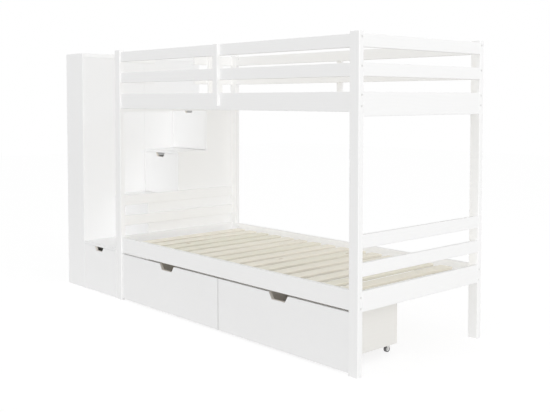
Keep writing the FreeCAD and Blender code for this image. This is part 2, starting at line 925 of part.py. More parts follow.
def build_stairs():
    steps = range(1, step_count + 1)
    save("stair_treads", [tread(step) for step in steps])
    save("stair_bottom_board", [stair_bottom()])
    save("stair_stringer", [stringer()])
    save("stair_back_panel", [stair_back_panel()])
    save("stair_runners", runners())
    for step in steps:
        save("stair_drawer_%d_front" % step, [stair_drawer_front(step)])
        save("stair_drawer_%d_box" % step, stair_drawer_box(step))


def build_bookcase():
    holes = shelf_pins(hole_clearance)
    save("bookcase_uprights", [cut_all(panel, holes) for panel in bookcase_uprights()])
    save("bookcase_wall_panels", bookcase_wall_panels())
    save("bookcase_top", [bookcase_top()])
    save("bookcase_face_stiles", bookcase_face_stiles())
    save("bookcase_base_boards", bookcase_base())
    save("bookcase_shelves", bookcase_shelves())
    save("shelf_pins", shelf_pins())


os.makedirs("parts", exist_ok=True)
build_frame()
build_slats()
build_fasteners()
build_bed_drawers()
build_stairs()
build_bookcase()
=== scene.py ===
# %% [markdown]
# # A white bunk bed with storage stairs
# The bed, its stairs and its bookcase are already built to size, board by board. This lesson dresses them:
# it gives every surface its finish and models the small hardware that a plain solid can't show. The first
# cell loads the boards as a fixed frame. Everything is in metres: +X runs to the foot end, +Y to the back,
# +Z up, and the floor is at zero.

# %% Load the frame
import math

import bmesh
import bpy
from mathutils import Matrix, Vector


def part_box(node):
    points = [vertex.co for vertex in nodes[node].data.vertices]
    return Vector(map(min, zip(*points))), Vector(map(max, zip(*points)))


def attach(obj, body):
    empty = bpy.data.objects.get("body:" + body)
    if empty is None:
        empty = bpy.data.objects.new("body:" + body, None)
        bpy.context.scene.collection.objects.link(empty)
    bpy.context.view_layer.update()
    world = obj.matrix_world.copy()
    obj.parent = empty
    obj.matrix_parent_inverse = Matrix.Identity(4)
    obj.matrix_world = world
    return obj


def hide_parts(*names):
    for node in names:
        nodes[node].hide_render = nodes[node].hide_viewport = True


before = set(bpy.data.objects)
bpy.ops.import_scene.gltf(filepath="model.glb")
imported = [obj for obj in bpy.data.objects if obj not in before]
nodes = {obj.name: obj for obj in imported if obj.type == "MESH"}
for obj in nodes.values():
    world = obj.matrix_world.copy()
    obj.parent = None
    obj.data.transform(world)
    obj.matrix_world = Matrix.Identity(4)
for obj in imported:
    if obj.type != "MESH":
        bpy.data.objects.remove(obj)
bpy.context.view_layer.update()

MM = 0.001

# %% [markdown]
# ## The camera
# The picture was taken from beyond the foot end, at about the height of the upper slats, with a long lens.
# The lens is shifted down instead of tipping the whole camera, as furniture is usually shot: the posts then
# stay nearly upright in the picture. The small tilt does the rest.

# %% Camera
SENSOR_WIDTH = 36.0
LENS = 54.05
LENS_SHIFT = -0.12
CAMERA_PLACE = (3.859, -3.272, 1.279)
CAMERA_TILT_DOWN = 2.80
CAMERA_TURN = 47.785

camera_data = bpy.data.cameras.new("studio_camera")
camera_data.sensor_width = SENSOR_WIDTH
camera_data.lens = LENS
camera_data.shift_y = LENS_SHIFT
camera = bpy.data.objects.new("studio_camera", camera_data)
camera.location = CAMERA_PLACE
camera.rotation_euler = (math.radians(90 - CAMERA_TILT_DOWN), 0, math.radians(CAMERA_TURN))
bpy.context.scene.collection.objects.link(camera)
bpy.context.scene.camera = camera
bpy.context.scene.view_settings.view_transform = "Standard"
print("camera", round(camera.location.length, 2), "m from the origin")

# %% [markdown]
# ## Hands
# Modelling by script works best with a few helpers that do what a modeller's hands do: let go of
# everything, take hold of one object, pick faces by where they are, and finish a modifier. An operator acts
# on all that is selected, so each helper starts by deselecting.


# %% Helpers for selecting and finishing
def take(*objects):
    """Selects only these objects, the first one active."""
    bpy.ops.object.select_all(action="DESELECT")
    for obj in objects:
        obj.select_set(True)
    bpy.context.view_layer.objects.active = objects[0]
    return objects[0]


def place(obj):
    """Moves an object's place, turn and scale into its mesh."""
    take(obj)
    bpy.ops.object.transform_apply(location=True, rotation=True, scale=True)
    return obj


def finish_modifier(obj, kind, **values):
    """Adds a modifier, sets it and applies it."""
    take(obj)
    modifier = obj.modifiers.new(kind.lower(), kind)
    for key, value in values.items():
        setattr(modifier, key, value)
    bpy.ops.object.modifier_apply(modifier=modifier.name)
    return obj


def edit_part(obj, element, test):
    """Opens edit mode with only the vertices, edges or faces selected that pass the test."""
    take(obj)
    bpy.ops.object.mode_set(mode="EDIT")
    bpy.ops.mesh.select_mode(type=element)
    bpy.ops.mesh.select_all(action="DESELECT")
    mesh = bmesh.from_edit_mesh(obj.data)
    parts = {"VERT": mesh.verts, "EDGE": mesh.edges, "FACE": mesh.faces}[element]
    for part in parts:
        part.select = test(part)
    mesh.select_flush_mode()
    bmesh.update_edit_mesh(obj.data)


def leave_edit():
    bpy.ops.object.mode_set(mode="OBJECT")


def edge_middle(edge):
    return (edge.verts[0].co + edge.verts[1].co) / 2


def edge_run(edge):
    return (edge.verts[1].co - edge.verts[0].co).normalized()


def block(name, low, high):
    """A cube stretched between two corners, as a start for a piece."""
    low, high = Vector(low), Vector(high)
    bpy.ops.object.select_all(action="DESELECT")
    bpy.ops.mesh.primitive_cube_add(size=1, location=(low + high) / 2)
    obj = bpy.context.object
    obj.name = obj.data.name = name
    obj.scale = high - low
    return place(obj)


AXIS_TURN = {"X": (0, math.pi / 2, 0), "Y": (-math.pi / 2, 0, 0), "Z": (0, 0, 0)}


def round_bar(name, centre, axis, radius, length, sides=32):
    """A cylinder along one axis, as a start for a piece."""
    bpy.ops.object.select_all(action="DESELECT")
    bpy.ops.mesh.primitive_cylinder_add(vertices=sides, radius=radius, depth=length,
                                        location=centre, rotation=AXIS_TURN[axis])
    obj = bpy.context.object
    obj.name = obj.data.name = name
    return place(obj)


def join(name, pieces):
    take(*pieces)
    bpy.ops.object.join()
    obj = bpy.context.object
    obj.name = obj.data.name = name
    return obj


def carve(obj, cutter):
    """Cuts one piece out of another, throws the cutter away and clears the slivers that a cut can leave."""
    finish_modifier(obj, "BOOLEAN", operation="DIFFERENCE", solver="EXACT", object=cutter)
    bpy.data.objects.remove(cutter, do_unlink=True)
    edit_part(obj, "VERT", lambda corner: True)
    bpy.ops.mesh.remove_doubles(threshold=0.002 * MM)
    bpy.ops.mesh.dissolve_degenerate(threshold=0.002 * MM)
    leave_edit()
    return obj


def smooth(obj, degrees=35):
    take(obj)
    bpy.ops.object.shade_smooth_by_angle(angle=math.radians(degrees))
    return obj


def copies(name, model, places):
    """One piece made of a model repeated at each place. Every copy has its own mesh."""
    made = []
    for matrix in places:
        twin = model.copy()
        twin.data = model.data.copy()
        twin.data.transform(matrix)
        bpy.context.scene.collection.objects.link(twin)
        made.append(twin)
    bpy.data.objects.remove(model, do_unlink=True)
    return join(name, made)


print("helpers ready")

# %% [markdown]
# ## Light and floor
# A catalogue picture of white furniture has no dark corner in it. Most of the light here is the room
# itself, a bright even world that darkens corners softly. Lamps could be made so strong that the white
# paint burns out, but then its edges vanish, so they are kept low and only the backdrop and the open floor
# are pure white. Light Path tells the world when a ray comes straight from the camera, and shows it white
# without adding light.

# %% World
ROOM_LIGHT = 0.76
BACKDROP_WHITE = (1.0, 1.0, 1.0, 1.0)


def seen_directly(tree):
    """1 for camera, mirror and see-through rays, so that they meet the white backdrop."""
    path = tree.nodes.new("ShaderNodeLightPath")
    total = None
    for label in ("Is Camera Ray", "Is Glossy Ray", "Is Transmission Ray"):
        if total is None:
            total = path.outputs[label]
            continue
        add = tree.nodes.new("ShaderNodeMath")
        add.operation = "ADD"
        add.use_clamp = True
        tree.links.new(total, add.inputs[0])
        tree.links.new(path.outputs[label], add.inputs[1])
        total = add.outputs[0]
    return total


world = bpy.data.worlds.new("bright_room")
bpy.context.scene.world = world
world.use_nodes = True
room = world.node_tree
room.nodes.clear()
room_light = room.nodes.new("ShaderNodeBackground")
room_light.inputs["Strength"].default_value = ROOM_LIGHT
backdrop = room.nodes.new("ShaderNodeBackground")
backdrop.inputs["Color"].default_value = BACKDROP_WHITE
room_mix = room.nodes.new("ShaderNodeMixShader")
room_out = room.nodes.new("ShaderNodeOutputWorld")
room.links.new(seen_directly(room), room_mix.inputs["Fac"])
room.links.new(room_light.outputs[0], room_mix.inputs[1])
room.links.new(backdrop.outputs[0], room_mix.inputs[2])
room.links.new(room_mix.outputs[0], room_out.inputs["Surface"])
print("room light", ROOM_LIGHT)

# %% [markdown]
# The floor is a wide pale sheet. It takes the soft shadow of the bed. A glow that only the camera sees
# lifts it to the white of the backdrop, and the camera meets a darker floor under that glow, so that both
# together are white where nothing shades the floor and the shadow stays faint, as in a retouched picture.

# %% Floor
FLOOR_HALF = 14.0
FLOOR_COLOUR = (0.88, 0.88, 0.88, 1.0)
FLOOR_SEEN = (0.22, 0.22, 0.22, 1.0)
FLOOR_GLOW = 0.86

bpy.ops.object.select_all(action="DESELECT")
bpy.ops.mesh.primitive_grid_add(x_subdivisions=8, y_subdivisions=8, size=2 * FLOOR_HALF)
floor = bpy.context.object
floor.name = floor.data.name = "studio_floor"
floor_material = bpy.data.materials.new("studio_floor")
floor_material.use_nodes = True
floor_tree = floor_material.node_tree
floor_shader = floor_tree.nodes["Principled BSDF"]
floor_shader.inputs["Roughness"].default_value = 0.9
floor_shader.inputs["Specular IOR Level"].default_value = 0.0
seen = seen_directly(floor_tree)
floor_mix = floor_tree.nodes.new("ShaderNodeMix")
floor_mix.data_type = "RGBA"
floor_mix.inputs[6].default_value = FLOOR_COLOUR
floor_mix.inputs[7].default_value = FLOOR_SEEN
glow = floor_tree.nodes.new("ShaderNodeEmission")
glow_amount = floor_tree.nodes.new("ShaderNodeMath")
glow_amount.operation = "MULTIPLY"
glow_amount.inputs[1].default_value = FLOOR_GLOW
floor_sum = floor_tree.nodes.new("ShaderNodeAddShader")
floor_tree.links.new(seen, floor_mix.inputs[0])
floor_tree.links.new(floor_mix.outputs[2], floor_shader.inputs["Base Color"])
floor_tree.links.new(seen, glow_amount.inputs[0])
floor_tree.links.new(glow_amount.outputs[0], glow.inputs["Strength"])
floor_tree.links.new(floor_shader.outputs[0], floor_sum.inputs[0])
floor_tree.links.new(glow.outputs[0], floor_sum.inputs[1])
floor_tree.links.new(floor_sum.outputs[0], floor_tree.nodes["Material Output"].inputs["Surface"])
floor.data.materials.append(floor_material)
print("floor", 2 * FLOOR_HALF, "m wide")

# %% [markdown]
# Two large lamps give the room a direction: one beyond the foot end, and a weak one overhead. The bed would
# draw a shadow line across the wall of the bookcase, which the picture doesn't have, so the first lamp
# leaves the inner wall panels out. Light linking does that: a light's receivers are a collection, and an
# object that the collection marks as excluded is the only one that gets nothing.

# %% Lamps
LAMP_AIM = Vector((0.2, 0.0, 0.8))
FOOT_LAMP_WATTS = 40
CEILING_LAMP_WATTS = 10.5


def soft_lamp(name, place_at, size, watts):
    lamp = bpy.data.lights.new(name, "AREA")
    lamp.shape = "SQUARE"
    lamp.size = size
    lamp.energy = watts
    obj = bpy.data.objects.new(name, lamp)
    obj.location = place_at
    obj.rotation_euler = (LAMP_AIM - Vector(place_at)).to_track_quat("-Z", "Y").to_euler()
    bpy.context.scene.collection.objects.link(obj)
    return obj


def all_but(name, *objects):
    """A collection that leaves out these objects and lets a light reach all others."""
    others = bpy.data.collections.new(name)
    for number, obj in enumerate(objects):
        others.objects.link(obj)
        others.collection_objects[number].light_linking.link_state = "EXCLUDE"
    return others


foot_end_lamp = soft_lamp("foot_end_lamp", (6.5, -0.6, 3.0), 3.5, FOOT_LAMP_WATTS)
foot_end_lamp.light_linking.receiver_collection = all_but("all_but_wall",
                                                          nodes["bookcase_wall_panels"])
soft_lamp("ceiling_lamp", (0.4, 0.2, 5.5), 4.0, CEILING_LAMP_WATTS)
print("two soft lamps")

# %% [markdown]
# The rest is even light: two suns that cast no shadow, one from the foot end and one from the front. They
# set how bright those sides of the bed are against each other, so a board's edges stay clear. The floor is
# left out, so that its shadow stays. The insides of the drawers are left out too, because the picture shows
# the gaps and the finger notches dark. The sun of the foot end also leaves out the bed drawer fronts, whose
# dark ends then draw the seam between them.

# %% Even light
FROM_FOOT_END = (1.0, 0.0, 0.25)
FROM_FRONT = (0.0, -1.0, 0.2)
FROM_ABOVE = (0.0, 0.0, 1.0)
SUN_WIDTH = math.radians(30)
FOOT_END_STRENGTH = 1.05
FRONT_STRENGTH = 0.91


def even_light(name, comes_from, strength, receivers, shadow=False):
    """A sun, as a rule without shadows, that reaches what the receivers say."""
    sun = bpy.data.lights.new(name, "SUN")
    sun.energy = strength
    sun.angle = SUN_WIDTH
    sun.use_shadow = shadow
    obj = bpy.data.objects.new(name, sun)
    obj.rotation_euler = Vector(comes_from).to_track_quat("Z", "Y").to_euler()
    bpy.context.scene.collection.objects.link(obj)
    obj.light_linking.receiver_collection = receivers
    return sun


drawer_insides = [nodes[name] for name in nodes if "drawer" in name and name.endswith(("_box", "_bottom"))]
bed_drawer_fronts = [nodes["left_drawer_front"], nodes["right_drawer_front"]]
even_light("foot_end_light", FROM_FOOT_END, FOOT_END_STRENGTH,
           all_but("open_ends", floor, *drawer_insides, *bed_drawer_fronts))
even_light("front_light", FROM_FRONT, FRONT_STRENGTH,
           all_but("outer_faces", floor, *drawer_insides))
print("two even lights")

# %% [markdown]
# The upper bunk shades the lower slats, and they are bright in the picture. They alone get a little more
# even light, from above. Its receivers are a collection of just that piece, so the gaps between the boards
# stay dark.

# %% Fill light for the lower slats
FILL_TINT = (0.92, 0.96, 1.0)
SLAT_STRENGTH = 0.78


def only(name, piece_names):
    """A collection that keeps a light for these pieces alone."""
    receivers = bpy.data.collections.new(name)
    for piece_name in piece_names:
        receivers.objects.link(nodes[piece_name])
    return receivers


slat_fill = even_light("slat_fill", FROM_ABOVE, SLAT_STRENGTH,
                       only("slat_fill_receivers", ("lower_slats",)))
slat_fill.color = FILL_TINT
print("one fill light")

# %% [markdown]
# Two last lights are different. The side of the right drawer box shows under the foot rail, so it needs the
# light of the foot end, but with a shadow, or its inner wall would glow through the gap above the fronts.
# The back post fades towards the floor, and a small lamp near the floor lifts its lower end.

# %% Lights for the drawer box and the back post
LEVEL_FROM_FOOT_END = (1.0, 0.0, 0.05)
BOX_STRENGTH = 1.4
POST_LAMP_SIZE = 0.5
POST_LAMP_WATTS = 1.4
POST_LAMP_REAR_SIDE = Vector((0.0, -1.0, 0.0))

even_light("box_light", LEVEL_FROM_FOOT_END, BOX_STRENGTH,
           only("box_light_receivers", ("right_drawer_box",)), shadow=True)

post_lamp = soft_lamp("post_lamp", (1.3, -0.6, 0.1), POST_LAMP_SIZE, POST_LAMP_WATTS)
post_lamp.rotation_euler = POST_LAMP_REAR_SIDE.to_track_quat("Z", "Y").to_euler()
post_lamp.data.use_shadow = False
post_lamp.light_linking.receiver_collection = only("post_lamp_receivers", ("post_back_foot",))
print("a light for the box and a lamp for the post")

# %% [markdown]
# ## Finishes
# White paint on pine is never quite even: the grain raises it a little, and a knot shows through as a warm
# shade. Coated boards are smoother, with a skin like that of an orange, and raw slats show rings, fibres
# and knots openly. Several materials need the same figure, so it is built once as a node group, with grain
# along Z, and each material turns its own coordinates to suit the board.


# %% Helpers for shader nodes
def new_group(name, inputs, outputs):
    group = bpy.data.node_groups.new(name, "ShaderNodeTree")
    for label, kind, value in inputs:
        socket = group.interface.new_socket(label, in_out="INPUT", socket_type="NodeSocket" + kind)
        if value is not None:
            socket.default_value = value
    for label, kind in outputs:
        group.interface.new_socket(label, in_out="OUTPUT", socket_type="NodeSocket" + kind)
    return group, group.nodes.new("NodeGroupInput").outputs, group.nodes.new("NodeGroupOutput").inputs


def add_node(tree, kind, inputs=None, **settings):
    """A shader node. Each input is a value to set or a socket to link."""
    node = tree.nodes.new("ShaderNode" + kind)
    for key, value in settings.items():
        setattr(node, key, value)
    for key, value in (inputs or {}).items():
        if isinstance(value, bpy.types.NodeSocket):
            tree.links.new(value, node.inputs[key])
        else:
            node.inputs[key].default_value = value
    return node


def maths(tree, operation, first, second=0.0, clamp=False):
    return add_node(tree, "Math", {0: first, 1: second}, operation=operation,
                    use_clamp=clamp).outputs[0]


def stretched(tree, vector, scale):
    return add_node(tree, "VectorMath", {0: vector, 1: scale}, operation="MULTIPLY").outputs[0]


def noise(tree, vector, scale, detail=2.0):
    return add_node(tree, "TexNoise", {"Vector": vector, "Scale": scale, "Detail": detail}).outputs["Fac"]


def ramp(tree, value, low, high):
    """0 below low, 1 above high and smooth between them."""
    return add_node(tree, "MapRange", {"Value": value, "From Min": low, "From Max": high},
                    interpolation_type="SMOOTHSTEP").outputs["Result"]


def mix_colour(tree, amount, first, second):
    node = add_node(tree, "Mix", data_type="RGBA")
    for key, value in ((0, amount), (6, first), (7, second)):
        if isinstance(value, bpy.types.NodeSocket):
            tree.links.new(value, node.inputs[key])
        else:
            node.inputs[key].default_value = value
    return node.outputs[2]


print("shader helpers ready")

# %% [markdown]
# The wood figure has three parts. Rings are a sine of the distance across the board, pushed about by slow
# noise so that they wander. Fibres are fine noise drawn out along the grain. Knots come from a Voronoi
# pattern: only a few of its cells keep one, and it is drawn out a little along the grain as a sawn knot is.

# %% Wood figure group
wood_figure, figure_in, figure_out = new_group(
    "wood_figure",
    [("Vector", "Vector", None), ("Ring Width", "Float", 0.006), ("Knot Radius", "Float", 0.12)],
    [("Rings", "Float"), ("Fibres", "Float"), ("Knots", "Float")])

slow = stretched(wood_figure, figure_in["Vector"], (6.0, 6.0, 0.9))
wander = noise(wood_figure, slow, 1.0)
split = add_node(wood_figure, "SeparateXYZ", {0: figure_in["Vector"]})
across = maths(wood_figure, "ADD", split.outputs["X"],
               maths(wood_figure, "MULTIPLY", split.outputs["Y"], 0.6))
pushed = maths(wood_figure, "ADD", across, maths(wood_figure, "MULTIPLY", wander, 0.11))
turns = maths(wood_figure, "DIVIDE", pushed, figure_in["Ring Width"])
wave = maths(wood_figure, "SINE", maths(wood_figure, "MULTIPLY", turns, 2 * math.pi))
wood_figure.links.new(maths(wood_figure, "ADD", maths(wood_figure, "MULTIPLY", wave, 0.5), 0.5),
                      figure_out["Rings"])
fibres = noise(wood_figure, stretched(wood_figure, figure_in["Vector"], (1.0, 1.0, 0.025)), 620.0, 3.0)
wood_figure.links.new(fibres, figure_out["Fibres"])
cells = add_node(wood_figure, "TexVoronoi",
                 {"Vector": stretched(wood_figure, figure_in["Vector"], (9.0, 9.0, 3.6)), "Scale": 1.0})
kept = maths(wood_figure, "GREATER_THAN",
             add_node(wood_figure, "SeparateColor", {0: cells.outputs["Color"]}).outputs[0], 0.72)
inside = ramp(wood_figure, cells.outputs["Distance"], figure_in["Knot Radius"], 0.02)
wood_figure.links.new(maths(wood_figure, "MULTIPLY", kept, inside), figure_out["Knots"])
print("wood_figure:", len(wood_figure.nodes), "nodes")

# %% [markdown]
# A sprayed or foil-covered board has a very fine skin. The lacquer group gives its height, for bump, and a
# slow gloss change, as if the board had been wiped and handled.

# %% Lacquer group
lacquer, lacquer_in, lacquer_out = new_group(
    "lacquer", [("Vector", "Vector", None), ("Peel Scale", "Float", 260.0)],
    [("Height", "Float"), ("Gloss", "Float")])
lacquer.links.new(noise(lacquer, lacquer_in["Vector"], lacquer_in["Peel Scale"], 2.0), lacquer_out["Height"])
lacquer.links.new(ramp(lacquer, noise(lacquer, lacquer_in["Vector"], 2.3, 3.0), 0.35, 0.65),
                  lacquer_out["Gloss"])
print("lacquer:", len(lacquer.nodes), "nodes")

# %% [markdown]
# Inside a finger notch the coating stops and the pale raw board shows. The notch group marks it by place:
# near the notch's middle, above its floor, and on faces that look up or sideways but not forwards.

# %% Notch edge group
notch_edge, notch_in, notch_out = new_group(
    "notch_edge",
    [("Middle", "Float", 0.0), ("Half Width", "Float", 0.07), ("Floor Height", "Float", 0.26)],
    [("Mask", "Float")])
seat = add_node(notch_edge, "TexCoord")
where = add_node(notch_edge, "SeparateXYZ", {0: seat.outputs["Object"]})
facing = add_node(notch_edge, "SeparateXYZ", {0: seat.outputs["Normal"]})
aside = maths(notch_edge, "ABSOLUTE", maths(notch_edge, "SUBTRACT", where.outputs["X"], notch_in["Middle"]))
near = maths(notch_edge, "LESS_THAN", aside, notch_in["Half Width"])
above = maths(notch_edge, "GREATER_THAN", where.outputs["Z"],
              maths(notch_edge, "SUBTRACT", notch_in["Floor Height"], 0.4 * MM))
not_forward = maths(notch_edge, "LESS_THAN", maths(notch_edge, "ABSOLUTE", facing.outputs["Y"]), 0.5)
notch_edge.links.new(maths(notch_edge, "MULTIPLY", maths(notch_edge, "MULTIPLY", near, above), not_forward),
                     notch_out["Mask"])
print("notch_edge:", len(notch_edge.nodes), "nodes")

# %% [markdown]
# Each material is one Principled shader fed by these groups. The boards' own direction is the only thing
# that differs between the painted woods, so one function makes all three.

# %% Helpers for materials
GRAIN_TURN = {"X": (0, -math.pi / 2, 0), "Y": (math.pi / 2, 0, 0), "Z": (0, 0, 0)}


def new_material(name, roughness, colour=None):
    material = bpy.data.materials.new(name)
    material.use_nodes = True
    shader = material.node_tree.nodes["Principled BSDF"]
    shader.inputs["Roughness"].default_value = roughness
    if colour is not None:
        shader.inputs["Base Color"].default_value = colour
    return material, material.node_tree, shader


def along(tree, axis):
    """Object coordinates turned so that the grain runs along Z."""
    place_at = add_node(tree, "TexCoord").outputs["Object"]
    return add_node(tree, "Mapping", {"Vector": place_at, "Rotation": GRAIN_TURN[axis]}).outputs[0]


def use_group(tree, group, inputs):
    node = tree.nodes.new("ShaderNodeGroup")
    node.node_tree = group
    for key, value in inputs.items():
        if isinstance(value, bpy.types.NodeSocket):
            tree.links.new(value, node.inputs[key])
        else:
            node.inputs[key].default_value = value
    return node.outputs


def bump(tree, shader, height, depth, strength=1.0):
    node = add_node(tree, "Bump", {"Height": height, "Distance": depth, "Strength": strength})
    tree.links.new(node.outputs[0], shader.inputs["Normal"])


def wear(obj, material):
    """Puts one finish on an object in place of all that it had."""
    obj.data.materials.clear()
    obj.data.materials.append(material)


print("material helpers ready")

# %% Painted pine
PAINT_WHITE = (0.890, 0.890, 0.888, 1.0)
PAINT_SHADE = (0.865, 0.863, 0.855, 1.0)
PAINT_KNOT = (0.850, 0.835, 0.805, 1.0)


def painted_pine(axis):
    material, tree, shader = new_material("painted_pine_" + axis.lower(), 0.42)
    vector = along(tree, axis)
    wood = use_group(tree, wood_figure, {"Vector": vector, "Ring Width": 0.011, "Knot Radius": 0.16})
    skin = use_group(tree, lacquer, {"Vector": vector, "Peel Scale": 190.0})
    grain = maths(tree, "MULTIPLY", wood["Rings"], wood["Fibres"])
    body = mix_colour(tree, maths(tree, "MULTIPLY", grain, 0.45), PAINT_WHITE, PAINT_SHADE)
    colour = mix_colour(tree, maths(tree, "MULTIPLY", wood["Knots"], 0.35), body, PAINT_KNOT)
    tree.links.new(colour, shader.inputs["Base Color"])
    gloss = maths(tree, "ADD", maths(tree, "MULTIPLY", skin["Gloss"], 0.08), 0.36)
    tree.links.new(gloss, shader.inputs["Roughness"])
    height = maths(tree, "ADD", wood["Fibres"], maths(tree, "MULTIPLY", skin["Height"], 0.6))
    bump(tree, shader, height, 0.10 * MM)
    return material


painted = {axis: painted_pine(axis) for axis in "XYZ"}
print("painted pine along", ", ".join(painted))

# %% Coated board
BOARD_WHITE = (0.890, 0.890, 0.889, 1.0)
BOARD_CLOUD = (0.876, 0.876, 0.875, 1.0)
RAW_BOARD = (0.860, 0.830, 0.775, 1.0)
RAW_BOARD_DARK = (0.770, 0.720, 0.640, 1.0)


def coated_board(name, notch=None):
    """White coated board. A notch is (middle, half width, floor height) of a cut-out with bare edges."""
    material, tree, shader = new_material(name, 0.36)
    vector = along(tree, "Z")
    skin = use_group(tree, lacquer, {"Vector": vector, "Peel Scale": 320.0})
    colour = mix_colour(tree, maths(tree, "MULTIPLY", skin["Gloss"], 0.5), BOARD_WHITE, BOARD_CLOUD)
    roughness = maths(tree, "ADD", maths(tree, "MULTIPLY", skin["Gloss"], 0.07), 0.33)
    height = skin["Height"]
    if notch is not None:
        middle, half_width, floor_height = notch
        mask = use_group(tree, notch_edge, {"Middle": middle, "Half Width": half_width,
                                            "Floor Height": floor_height})["Mask"]
        flakes = noise(tree, vector, 620.0, 4.0)
        raw = mix_colour(tree, ramp(tree, flakes, 0.35, 0.65), RAW_BOARD, RAW_BOARD_DARK)
        colour = mix_colour(tree, mask, colour, raw)
        roughness = maths(tree, "ADD", roughness, maths(tree, "MULTIPLY", mask, 0.45))
        rough_edge = maths(tree, "MULTIPLY", maths(tree, "MULTIPLY", flakes, mask), 3.0)
        height = maths(tree, "ADD", height, rough_edge)
    tree.links.new(colour, shader.inputs["Base Color"])
    tree.links.new(roughness, shader.inputs["Roughness"])
    bump(tree, shader, height, 0.05 * MM)
    return material


plain_board = coated_board("coated_board")
print("coated board")

# %% Drawer board
DRAWER_PALE = (0.870, 0.860, 0.830, 1.0)
DRAWER_STREAK = (0.855, 0.843, 0.812, 1.0)


def drawer_board():
    """Pale grey-beige foil with a faint printed grain, on the hidden parts of the drawers."""
    material, tree, shader = new_material("drawer_board", 0.5)
    vector = along(tree, "Y")
    wood = use_group(tree, wood_figure, {"Vector": vector, "Ring Width": 0.016, "Knot Radius": 0.0})
    skin = use_group(tree, lacquer, {"Vector": vector, "Peel Scale": 240.0})
    streak = maths(tree, "ADD", maths(tree, "MULTIPLY", wood["Rings"], 0.35),
                   maths(tree, "MULTIPLY", wood["Fibres"], 0.5))
    tree.links.new(mix_colour(tree, streak, DRAWER_PALE, DRAWER_STREAK), shader.inputs["Base Color"])
    bump(tree, shader, maths(tree, "ADD", wood["Fibres"], skin["Height"]), 0.06 * MM)
    return material


drawer_finish = drawer_board()
print("drawer board")

# %% Hardboard
HARDBOARD_BROWN = (0.400, 0.285, 0.180, 1.0)
HARDBOARD_DARK = (0.300, 0.205, 0.120, 1.0)


def hardboard():
    """Brown pressed fibre board, for the drawer bottoms."""
    material, tree, shader = new_material("hardboard", 0.55)
    vector = along(tree, "Z")
    felt = noise(tree, vector, 340.0, 5.0)
    cloud = noise(tree, vector, 9.0, 2.0)
    blotch = maths(tree, "ADD", maths(tree, "MULTIPLY", felt, 0.7), maths(tree, "MULTIPLY", cloud, 0.3))
    tree.links.new(mix_colour(tree, ramp(tree, blotch, 0.35, 0.65), HARDBOARD_BROWN, HARDBOARD_DARK),
                   shader.inputs["Base Color"])
    bump(tree, shader, felt, 0.08 * MM)
    return material


bottom_board = hardboard()
print("hardboard")

# %% Bare wood
SLAT_PALE = (0.780, 0.750, 0.670, 1.0)
SLAT_RING = (0.680, 0.640, 0.545, 1.0)
SLAT_PINK = (0.750, 0.690, 0.605, 1.0)
SLAT_OLIVE = (0.610, 0.600, 0.475, 1.0)
SLAT_KNOT = (0.300, 0.190, 0.105, 1.0)


def bare_wood(name, axis, tone=None):
    """Unfinished pine. A tone is (first, pitch) along X, and makes each slat a shade of its own."""
    material, tree, shader = new_material(name, 0.62)
    vector = along(tree, axis)
    wood = use_group(tree, wood_figure, {"Vector": vector, "Ring Width": 0.0075, "Knot Radius": 0.11})
    streak = maths(tree, "ADD", maths(tree, "MULTIPLY", wood["Rings"], 0.55),
                   maths(tree, "MULTIPLY", wood["Fibres"], 0.45))
    colour = mix_colour(tree, streak, SLAT_PALE, SLAT_RING)
    if tone is not None:
        first, pitch = tone
        split_place = add_node(tree, "SeparateXYZ", {0: add_node(tree, "TexCoord").outputs["Object"]})
        number = maths(tree, "FLOOR", maths(tree, "DIVIDE", maths(tree, "SUBTRACT", split_place.outputs["X"],
                                                                 first), pitch))
        chance = add_node(tree, "TexWhiteNoise", {"W": number}, noise_dimensions="1D").outputs
        hue = mix_colour(tree, ramp(tree, chance["Color"], 0.3, 0.7), SLAT_PINK, SLAT_OLIVE)
        colour = mix_colour(tree, maths(tree, "MULTIPLY", chance["Value"], 0.34), colour, hue)
    colour = mix_colour(tree, wood["Knots"], colour, SLAT_KNOT)
    tree.links.new(colour, shader.inputs["Base Color"])
    bump(tree, shader, maths(tree, "ADD", wood["Fibres"], wood["Rings"]), 0.12 * MM)
    return material


SLAT_COUNT = 16
SLAT_WIDTH = 78 * MM
slat_low, slat_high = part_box("lower_slats")
slat_pitch = (slat_high.x - slat_low.x - SLAT_WIDTH) / (SLAT_COUNT - 1)
slat_tone = (slat_low.x - (slat_pitch - SLAT_WIDTH) / 2, slat_pitch)
slat_wood = bare_wood("slat_wood", "Y", slat_tone)
dowel_wood = bare_wood("dowel_wood", "Y")
print("slats every", round(slat_pitch / MM), "mm")

# %% Webbing, metal and plastic


def webbing():
    material, tree, shader = new_material("webbing", 0.85)
    place_at = add_node(tree, "TexCoord").outputs["Object"]
    weave = add_node(tree, "TexChecker", {"Vector": place_at, "Scale": 700.0,
                                          "Color1": (0.78, 0.77, 0.73, 1), "Color2": (0.66, 0.65, 0.61, 1)})
    tree.links.new(weave.outputs["Color"], shader.inputs["Base Color"])
    bump(tree, shader, weave.outputs["Fac"], 0.25 * MM)
    return material


def metal(name, colour, dull, roughness, metallic):
    """A metal with fine brushed or pressed marks."""
    material, tree, shader = new_material(name, roughness)
    shader.inputs["Metallic"].default_value = metallic
    vector = along(tree, "Z")
    skin = use_group(tree, lacquer, {"Vector": vector, "Peel Scale": 900.0})
    tree.links.new(mix_colour(tree, skin["Height"], colour, dull), shader.inputs["Base Color"])
    tree.links.new(maths(tree, "ADD", maths(tree, "MULTIPLY", skin["Height"], 0.2), roughness - 0.1),
                   shader.inputs["Roughness"])
    bump(tree, shader, skin["Height"], 0.03 * MM)
    return material


